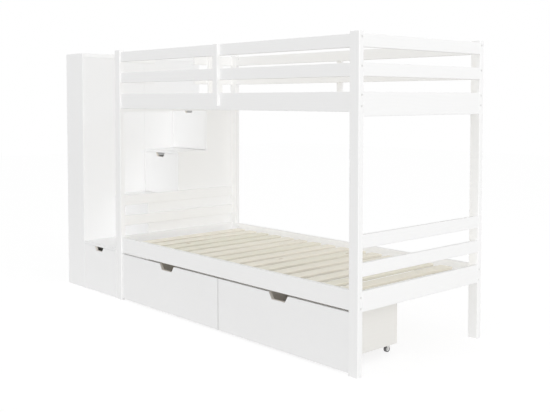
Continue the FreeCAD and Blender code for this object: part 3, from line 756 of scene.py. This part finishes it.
plated_steel = metal("plated_steel", (0.66, 0.66, 0.64, 1), (0.52, 0.52, 0.51, 1), 0.34, 0.9)
caster_steel = metal("caster_steel", (0.70, 0.70, 0.69, 1), (0.62, 0.62, 0.61, 1), 0.4, 0.35)
tyre_rubber = metal("tyre_rubber", (0.19, 0.19, 0.195, 1), (0.15, 0.15, 0.155, 1), 0.55, 0.0)
hub_plastic = metal("hub_plastic", (0.74, 0.74, 0.73, 1), (0.68, 0.68, 0.67, 1), 0.42, 0.0)
screw_paint = metal("screw_paint", (0.88, 0.88, 0.875, 1), (0.85, 0.85, 0.845, 1), 0.42, 0.0)
bolt_zinc = metal("bolt_zinc", (0.82, 0.82, 0.81, 1), (0.72, 0.72, 0.71, 1), 0.38, 0.4)
strap_webbing = webbing()
print("webbing, steel, paint, rubber and plastic")

# %% [markdown]
# Now each board gets the finish that runs its way. The long boards lie along X, the end boards along Y, and
# the posts and stiles stand along Z.

# %% Dress the bed frame
ALONG_X = ("upper_front_rail", "upper_back_rail", "lower_front_rail", "lower_back_rail",
           "front_guard_boards", "back_guard_boards", "slat_cleats")
ALONG_Y = ("upper_foot_rail", "upper_head_rail", "lower_foot_rail", "lower_head_rail",
           "lower_foot_boards", "lower_head_boards", "foot_guard_boards", "head_guard_boards")
ALONG_Z = ("post_front_head", "post_front_foot", "post_back_head", "post_back_foot",
           "side_guard_stiles", "head_guard_stile")

for axis, names in (("X", ALONG_X), ("Y", ALONG_Y), ("Z", ALONG_Z)):
    for name in names:
        wear(nodes[name], painted[axis])
for name in ("lower_slats", "upper_slats"):
    wear(nodes[name], slat_wood)
for name in ("frame_dowels", "stair_runners"):
    wear(nodes[name], dowel_wood)
wear(nodes["slat_straps"], strap_webbing)
print("bed frame dressed")

# %% Dress the stairs, bookcase and drawers
STEP_COUNT = 4
for name in ("stair_treads", "stair_bottom_board", "stair_stringer", "stair_back_panel", "bookcase_uprights",
             "bookcase_wall_panels", "bookcase_top", "bookcase_face_stiles", "bookcase_base_boards",
             "bookcase_shelves"):
    wear(nodes[name], plain_board)


def notched(name, half_width, depth):
    """Coated board for one drawer front, with the raw cut-out in the middle of its top edge."""
    low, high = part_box(name)
    notch = ((low.x + high.x) / 2, half_width, high.z - depth)
    wear(nodes[name], coated_board("coated_" + name, notch))


BED_NOTCH = (71.5 * MM, 34 * MM)
STAIR_NOTCH = (53.5 * MM, 27 * MM)
for hand in ("left", "right"):
    notched(hand + "_drawer_front", *BED_NOTCH)
    wear(nodes[hand + "_drawer_box"], drawer_finish)
    wear(nodes[hand + "_drawer_bottom"], bottom_board)
    wear(nodes[hand + "_drawer_casters"], caster_steel)
    wear(nodes[hand + "_drawer_front_wheels"], tyre_rubber)
    wear(nodes[hand + "_drawer_rear_wheels"], tyre_rubber)
for step in range(1, STEP_COUNT + 1):
    notched("stair_drawer_%d_front" % step, *STAIR_NOTCH)
    wear(nodes["stair_drawer_%d_box" % step], drawer_finish)
for name in ("bed_bolts", "barrel_nuts", "wood_screws", "shelf_pins"):
    wear(nodes[name], plated_steel)
print("drawers dressed")

# %% [markdown]
# ## Bolts
# A bed like this comes flat, and it is held together by furniture bolts. Each one goes lengthwise through a
# post into the end of a rail, where it finds a cross-bored barrel nut. The picture shows the bolt heads as
# small grey dots in the posts. A plain cylinder has no socket for the key, so the head starts as a short
# cylinder along X. Its outer rim is bevelled, its inner face is inset and extruded into the shank, and a
# six-sided cylinder carves out the socket.

# %% Helpers for faces and copies
def faces_along(obj, direction):
    """Opens edit mode with the flat faces that look along a direction selected."""
    direction = Vector(direction)
    edit_part(obj, "FACE", lambda face: face.normal.dot(direction) > 0.99)


def rim_near(obj, axis, value, width=0.1 * MM):
    """Opens edit mode with the edges that lie at one height of an axis selected."""
    number = "XYZ".index(axis)
    edit_part(obj, "EDGE",
              lambda edge: all(abs(corner.co[number] - value) < width for corner in edge.verts))


def moved(place_at, turn=(0, 0, 0)):
    """The matrix for one copy: turned about its own origin, then moved."""
    about_x, about_y, about_z = (Matrix.Rotation(angle, 4, axis) for angle, axis in zip(turn, "XYZ"))
    spin = about_z @ about_y @ about_x
    return Matrix.Translation(place_at) @ spin


def fit(piece, body, slot_name, material, *replaced):
    """Dresses a new piece, lets it ride and hides the solids it stands for."""
    smooth(piece)
    wear(piece, material)
    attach(piece, body)
    if replaced:
        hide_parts(*replaced)
    return piece


print("helpers for small parts ready")

# %% Bed bolts
BODY = "bed_and_stairs"
HEAD_RADIUS = 5 * MM
HEAD_HEIGHT = 6 * MM
SHANK_RADIUS = 3 * MM
KEY_WIDTH = 5 * MM
bolts_low, bolts_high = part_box("bed_bolts")
BED_MIDDLE = (bolts_low.x + bolts_high.x) / 2
SEAT_REACH = (bolts_high.x - bolts_low.x) / 2 - HEAD_HEIGHT
BOLT_ROW = (bolts_high.y - bolts_low.y) / 2 - HEAD_RADIUS
BOLT_HEIGHTS = [mm * MM for mm in (320, 373, 1249, 1300, 1432, 1564)]
BOLT_LENGTH = 90 * MM


def bed_bolt():
    """A bolt with its seat at the origin and its head towards +X."""
    bolt = round_bar("bed_bolt", (HEAD_HEIGHT / 2, 0, 0), "X", HEAD_RADIUS, HEAD_HEIGHT, 24)
    rim_near(bolt, "X", HEAD_HEIGHT)
    bpy.ops.mesh.bevel(offset=0.7 * MM, segments=2, affect="EDGES")
    leave_edit()
    faces_along(bolt, (-1, 0, 0))
    bpy.ops.mesh.inset(thickness=HEAD_RADIUS - SHANK_RADIUS)
    bpy.ops.mesh.extrude_region_move(TRANSFORM_OT_translate={"value": (-(BOLT_LENGTH - 1.5 * MM), 0, 0)})
    bpy.ops.mesh.extrude_region_move(TRANSFORM_OT_translate={"value": (-1.5 * MM, 0, 0)})
    bpy.ops.transform.resize(value=(1, 0.7, 0.7), center_override=(-BOLT_LENGTH, 0, 0))
    leave_edit()
    return carve(bolt, round_bar("key_socket", (HEAD_HEIGHT, 0, 0), "X", KEY_WIDTH / math.sqrt(3),
                                 HEAD_HEIGHT, 6))


bolt_places = [moved((BED_MIDDLE + end * SEAT_REACH, side * BOLT_ROW, height),
                     (0, 0, 0 if end > 0 else math.pi))
               for end in (-1, 1) for side in (-1, 1) for height in BOLT_HEIGHTS]
bolts = fit(copies("bed_bolt_set", bed_bolt(), bolt_places), BODY, "plated_steel", bolt_zinc, "bed_bolts")
print(len(bolt_places), "bolts,", len(bolts.data.polygons), "faces")

# %% [markdown]
# The barrel nut is a steel pin that lies across the bolt, with a threaded hole through its side. Its
# slotted end looks into the bed, so that a screwdriver can turn the hole towards the bolt.

# %% Barrel nuts
NUT_RADIUS = 5 * MM
NUT_LENGTH = 14 * MM
THREAD_RADIUS = 3.1 * MM
nuts_low, nuts_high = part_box("barrel_nuts")
NUT_REACH = (nuts_high.x - nuts_low.x) / 2 - NUT_RADIUS


def barrel_nut():
    """A nut along Y at the origin, its slot towards +Y."""
    nut = round_bar("barrel_nut", (0, 0, 0), "Y", NUT_RADIUS, NUT_LENGTH, 24)
    for end in (-1, 1):
        rim_near(nut, "Y", end * NUT_LENGTH / 2)
        bpy.ops.mesh.bevel(offset=0.5 * MM, segments=2, affect="EDGES")
        leave_edit()
    carve(nut, round_bar("thread_hole", (0, 0, 0), "X", THREAD_RADIUS, 3 * NUT_RADIUS, 20))
    slot_floor = NUT_LENGTH / 2 - 1.8 * MM
    return carve(nut, block("slot", (-0.6 * MM, slot_floor, -2 * NUT_RADIUS),
                            (0.6 * MM, NUT_LENGTH, 2 * NUT_RADIUS)))


nut_places = [moved((BED_MIDDLE + end * NUT_REACH, side * BOLT_ROW, height),
                    (0, 0, 0 if side < 0 else math.pi))
              for end in (-1, 1) for side in (-1, 1) for height in BOLT_HEIGHTS]
nuts = fit(copies("barrel_nut_set", barrel_nut(), nut_places), BODY, "plated_steel", plated_steel,
           "barrel_nuts")
print(len(nut_places), "barrel nuts,", len(nuts.data.polygons), "faces")

# %% [markdown]
# ## Wood screws
# Countersunk screws hold the stiles to the guard boards and the cleats to the rails. The head is a cone
# that sinks flush. The shank is drawn out of the cone's small end and tapers to a point, and two thin
# blocks carve the cross of the driver. The screws of the stiles are painted over with the boards, so they
# hardly show.

# %% Wood screws
SCREW_HEAD_RADIUS = 4 * MM
SCREW_HEAD_HEIGHT = 3 * MM
SCREW_RADIUS = 2 * MM
SCREW_POINT = 6 * MM
CROSS_LENGTH = 4.4 * MM
CROSS_WIDTH = 0.9 * MM
CROSS_DEPTH = 1.7 * MM


def wood_screw(length):
    """A screw that starts at the origin and points along +Z."""
    bpy.ops.object.select_all(action="DESELECT")
    bpy.ops.mesh.primitive_cone_add(vertices=20, radius1=SCREW_HEAD_RADIUS, radius2=SCREW_RADIUS,
                                    depth=SCREW_HEAD_HEIGHT, location=(0, 0, SCREW_HEAD_HEIGHT / 2))
    screw = place(bpy.context.object)
    screw.name = screw.data.name = "wood_screw"
    faces_along(screw, (0, 0, 1))
    straight = length - SCREW_HEAD_HEIGHT - SCREW_POINT
    bpy.ops.mesh.extrude_region_move(TRANSFORM_OT_translate={"value": (0, 0, straight)})
    bpy.ops.mesh.extrude_region_move(TRANSFORM_OT_translate={"value": (0, 0, SCREW_POINT)})
    bpy.ops.transform.resize(value=(0.15, 0.15, 1), center_override=(0, 0, length))
    leave_edit()
    for across, along_y in ((CROSS_LENGTH, CROSS_WIDTH), (CROSS_WIDTH, CROSS_LENGTH)):
        low = (-across / 2, -along_y / 2, -CROSS_DEPTH)
        carve(screw, block("cross", low, (across / 2, along_y / 2, CROSS_DEPTH)))
    return screw


POINT_ALONG = {"+Y": (-math.pi / 2, 0, 0), "-Y": (math.pi / 2, 0, 0), "+X": (0, math.pi / 2, 0)}
BOARD_HEIGHTS = [mm * MM for mm in (1280, 1416, 1548)]
STILE_SCREW_ROW = 459 * MM
STILE_SCREW_OFF = 10 * MM
HEAD_STILE_FACE = -725 * MM
HEAD_STILE_COLUMNS = (255 * MM, 335 * MM)
CLEAT_SCREW_ROW = 419 * MM
CLEAT_SCREW_HEIGHTS = (342 * MM, 1257 * MM)
CLEAT_SCREW_PITCH = 451 * MM
SIDES = ((-1, "-Y"), (1, "+Y"))

side_stile_screws = copies("side_stile_screws", wood_screw(33 * MM), [
    moved((BED_MIDDLE + off, side * STILE_SCREW_ROW, height), POINT_ALONG[way])
    for side, way in SIDES for off in (-STILE_SCREW_OFF, STILE_SCREW_OFF) for height in BOARD_HEIGHTS])
head_stile_screws = copies("head_stile_screws", wood_screw(31 * MM), [
    moved((HEAD_STILE_FACE, column, height), POINT_ALONG["+X"])
    for column in HEAD_STILE_COLUMNS for height in BOARD_HEIGHTS])
cleat_screws = copies("cleat_screws", wood_screw(54 * MM), [
    moved((BED_MIDDLE + number * CLEAT_SCREW_PITCH, side * CLEAT_SCREW_ROW, height), POINT_ALONG[way])
    for side, way in SIDES for number in range(-2, 3) for height in CLEAT_SCREW_HEIGHTS])
stile_screws = join("stile_screws", [side_stile_screws, head_stile_screws])
fit(stile_screws, BODY, "white_paint", screw_paint, "wood_screws")
fit(cleat_screws, BODY, "plated_steel", plated_steel, "wood_screws")
print("wood screws,", len(stile_screws.data.polygons) + len(cleat_screws.data.polygons), "faces")

# %% [markdown]
# ## Panel pins
# The thin back panel of the stairs is nailed on. Pins go through it into the back edges of the bottom board
# and of the treads, and their flat heads show as rows of dots from behind.

# %% Panel pins
PIN_HEAD_RADIUS = 3 * MM
PIN_HEAD_HEIGHT = 0.7 * MM
PIN_SHANK_RADIUS = 0.9 * MM
PIN_LENGTH = 20 * MM
PIN_SIDE_INSET = 26 * MM
PINS_IN_ROW = 5
STAIR_BOARD = 16 * MM
panel_low, panel_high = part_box("stair_back_panel")
treads_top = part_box("stair_treads")[1].z
first_tread_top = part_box("stair_treads")[0].z + STAIR_BOARD
rise = (treads_top - first_tread_top) / (STEP_COUNT - 1)


def panel_pin():
    """A pin whose head lies on the plane y = 0 and whose shank runs to -Y."""
    pin = round_bar("panel_pin", (0, PIN_HEAD_HEIGHT / 2, 0), "Y", PIN_HEAD_RADIUS, PIN_HEAD_HEIGHT, 20)
    rim_near(pin, "Y", PIN_HEAD_HEIGHT)
    bpy.ops.mesh.bevel(offset=0.4 * MM, segments=2, affect="EDGES")
    leave_edit()
    faces_along(pin, (0, -1, 0))
    bpy.ops.mesh.inset(thickness=PIN_HEAD_RADIUS - PIN_SHANK_RADIUS)
    bpy.ops.mesh.extrude_region_move(TRANSFORM_OT_translate={"value": (0, -PIN_LENGTH, 0)})
    bpy.ops.transform.resize(value=(0.3, 1, 0.3), center_override=(0, -PIN_LENGTH, 0))
    leave_edit()
    return pin


pin_first = panel_low.x + PIN_SIDE_INSET
pin_pitch = (panel_high.x - panel_low.x - 2 * PIN_SIDE_INSET) / (PINS_IN_ROW - 1)
pin_heights = [panel_low.z + STAIR_BOARD / 2]
pin_heights += [first_tread_top + step * rise - STAIR_BOARD / 2 for step in range(STEP_COUNT - 1)]
pin_places = [Matrix.Translation((pin_first + number * pin_pitch, panel_high.y, height))
              for height in pin_heights for number in range(PINS_IN_ROW)]
pins = fit(copies("panel_pins", panel_pin(), pin_places), BODY, "plated_steel", bolt_zinc)
print(len(pin_places), "panel pins,", len(pins.data.polygons), "faces")

# %% [markdown]
# ## Casters
# Each bed drawer runs on four fixed casters. A caster is a bent steel bracket: a plate under the drawer,
# two cheeks that narrow down to the axle, and a pin riveted over at both ends. The solid has the same sizes
# with square corners, so here the plate gets round corners, the cheeks get round toes and the rivets get
# domes.

# %% Caster brackets
AXLE_HEIGHT = 17.5 * MM
PLATE = Vector((11.5, 22, 46)) * MM
PLATE_TOP = 48 * MM
CHEEK_INNER = 9.5 * MM
CHEEK_TOP_HALF = 15 * MM
CHEEK_TOE_HALF = 4.5 * MM
CHEEK_TOE = 13 * MM
RIVET_RADIUS = 4.5 * MM
RIVET_HEIGHT = 1.5 * MM
WHEEL_HALF_WIDTH = 8 * MM
PLATE_SCREW_ROWS = (-18 * MM, 18 * MM)


def bevel_edges(obj, test, offset, segments):
    edit_part(obj, "EDGE", test)
    bpy.ops.mesh.bevel(offset=offset, segments=segments, affect="EDGES")
    leave_edit()
    return obj


def caster_plate():
    plate = block("plate", (-PLATE.x, -PLATE.y, PLATE.z), (PLATE.x, PLATE.y, PLATE_TOP))
    bevel_edges(plate, lambda edge: abs(edge_run(edge).z) > 0.9, 3 * MM, 4)
    for along_y in PLATE_SCREW_ROWS:
        carve(plate, round_bar("screw_hole", (0, along_y, PLATE.z), "Z", 2.3 * MM, 6 * MM, 20))
    return plate


def caster_cheek(side):
    inner, outer = sorted((side * CHEEK_INNER, side * PLATE.x))
    cheek = block("cheek", (inner, -CHEEK_TOP_HALF, CHEEK_TOE), (outer, CHEEK_TOP_HALF, PLATE.z))
    faces_along(cheek, (0, 0, -1))
    bpy.ops.transform.resize(value=(1, CHEEK_TOE_HALF / CHEEK_TOP_HALF, 1), center_override=(0, 0, CHEEK_TOE))
    leave_edit()
    bevel_edges(cheek, lambda edge: abs(edge_run(edge).x) > 0.9 and edge_middle(edge).z < AXLE_HEIGHT,
                3 * MM, 4)
    return cheek


def caster_rivet(side):
    rivet = round_bar("rivet", (side * (PLATE.x + RIVET_HEIGHT / 2), 0, AXLE_HEIGHT), "X", RIVET_RADIUS,
                      RIVET_HEIGHT, 24)
    rim_near(rivet, "X", side * (PLATE.x + RIVET_HEIGHT))
    bpy.ops.mesh.bevel(offset=1.2 * MM, segments=3, affect="EDGES")
    leave_edit()
    return rivet


def caster():
    """One bracket on the wheel's middle line, at its own height."""
    pin = round_bar("pin", (0, 0, AXLE_HEIGHT), "X", 2.5 * MM, 2 * PLATE.x, 20)
    bevel_edges(pin, lambda edge: abs(edge_run(edge).x) < 0.1, 0.4 * MM, 2)
    sides = [make(side) for make in (caster_cheek, caster_rivet) for side in (-1, 1)]
    return join("caster", [caster_plate(), pin] + sides)


def plate_screw():
    """A pan-head screw under the plate, with its head towards -Z."""
    screw = round_bar("plate_screw", (0, 0, PLATE.z - 0.7 * MM), "Z", 2.9 * MM, 1.4 * MM, 20)
    rim_near(screw, "Z", PLATE.z - 1.4 * MM)
    bpy.ops.mesh.bevel(offset=0.8 * MM, segments=3, affect="EDGES")
    leave_edit()
    return carve(screw, block("driver_slot", (-2 * MM, -0.4 * MM, PLATE.z - 2 * MM),
                              (2 * MM, 0.4 * MM, PLATE.z - 0.8 * MM)))


def wheel_middles(hand, row):
    """Where the two wheels of one pair turn, read from the solid wheels."""
    low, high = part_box("%s_drawer_%s_wheels" % (hand, row))
    middle_y = (low.y + high.y) / 2
    return [Vector((low.x + WHEEL_HALF_WIDTH, middle_y, 0)),
            Vector((high.x - WHEEL_HALF_WIDTH, middle_y, 0))]


for hand in ("left", "right"):
    spots = wheel_middles(hand, "front") + wheel_middles(hand, "rear")
    brackets = copies(hand + "_caster_brackets", caster(), [Matrix.Translation(spot) for spot in spots])
    fit(brackets, hand + "_bed_drawer", "caster_steel", caster_steel, hand + "_drawer_casters")
    offsets = [Vector((0, along_y, 0)) for along_y in PLATE_SCREW_ROWS]
    heads = copies(hand + "_caster_screws", plate_screw(),
                   [Matrix.Translation(spot + offset) for spot in spots for offset in offsets])
    fit(heads, hand + "_bed_drawer", "plated_steel", plated_steel)
    print(hand, "casters,", len(brackets.data.polygons), "faces")

# %% [markdown]
# ## Wheels
# The one wheel that the picture shows has a dark tyre and a light middle. Tyre and hub are two pieces that
# turn together. The tyre is a thick ring: a cylinder with rounded shoulders, its side faces inset and sunk
# a little, and its middle carved out. The hub fills it, with a sunk web and a raised boss round the axle.

# %% Tyres and hubs
WHEEL_RADIUS = 17 * MM
HUB_RADIUS = 11 * MM
BOSS_RADIUS = 5 * MM
AXLE_BORE = 2.6 * MM


def tyre():
    ring = round_bar("tyre", (0, 0, AXLE_HEIGHT), "X", WHEEL_RADIUS, 2 * WHEEL_HALF_WIDTH, 48)
    for side in (-1, 1):
        rim_near(ring, "X", side * WHEEL_HALF_WIDTH)
        bpy.ops.mesh.bevel(offset=2 * MM, segments=4, affect="EDGES")
        leave_edit()
        faces_along(ring, (side, 0, 0))
        bpy.ops.mesh.inset(thickness=1.5 * MM)
        bpy.ops.mesh.inset(thickness=0.6 * MM, depth=-0.6 * MM)
        leave_edit()
    return carve(ring, round_bar("middle", (0, 0, AXLE_HEIGHT), "X", HUB_RADIUS, 3 * WHEEL_HALF_WIDTH, 48))


def hub():
    disc = round_bar("hub", (0, 0, AXLE_HEIGHT), "X", HUB_RADIUS, 2 * WHEEL_HALF_WIDTH - 1.6 * MM, 48)
    for side in (-1, 1):
        faces_along(disc, (side, 0, 0))
        bpy.ops.mesh.inset(thickness=1.2 * MM)
        bpy.ops.mesh.inset(thickness=0.8 * MM, depth=-1.6 * MM)
        bpy.ops.mesh.inset(thickness=HUB_RADIUS - BOSS_RADIUS - 2.8 * MM)
        bpy.ops.mesh.inset(thickness=0.8 * MM, depth=1.8 * MM)
        leave_edit()
    return carve(disc, round_bar("bore", (0, 0, AXLE_HEIGHT), "X", AXLE_BORE, 3 * WHEEL_HALF_WIDTH, 24))


for hand in ("left", "right"):
    for row in ("front", "rear"):
        spots = [Matrix.Translation(spot) for spot in wheel_middles(hand, row)]
        pair = "%s_%s_wheel_pair" % (hand, row)
        tyres = fit(copies("%s_%s_tyres" % (hand, row), tyre(), spots), pair, "black_plastic", tyre_rubber,
                    "%s_drawer_%s_wheels" % (hand, row))
        hubs = fit(copies("%s_%s_hubs" % (hand, row), hub(), spots), pair, "caster_steel", hub_plastic)
print("wheels,", len(tyres.data.polygons) + len(hubs.data.polygons), "faces a pair")
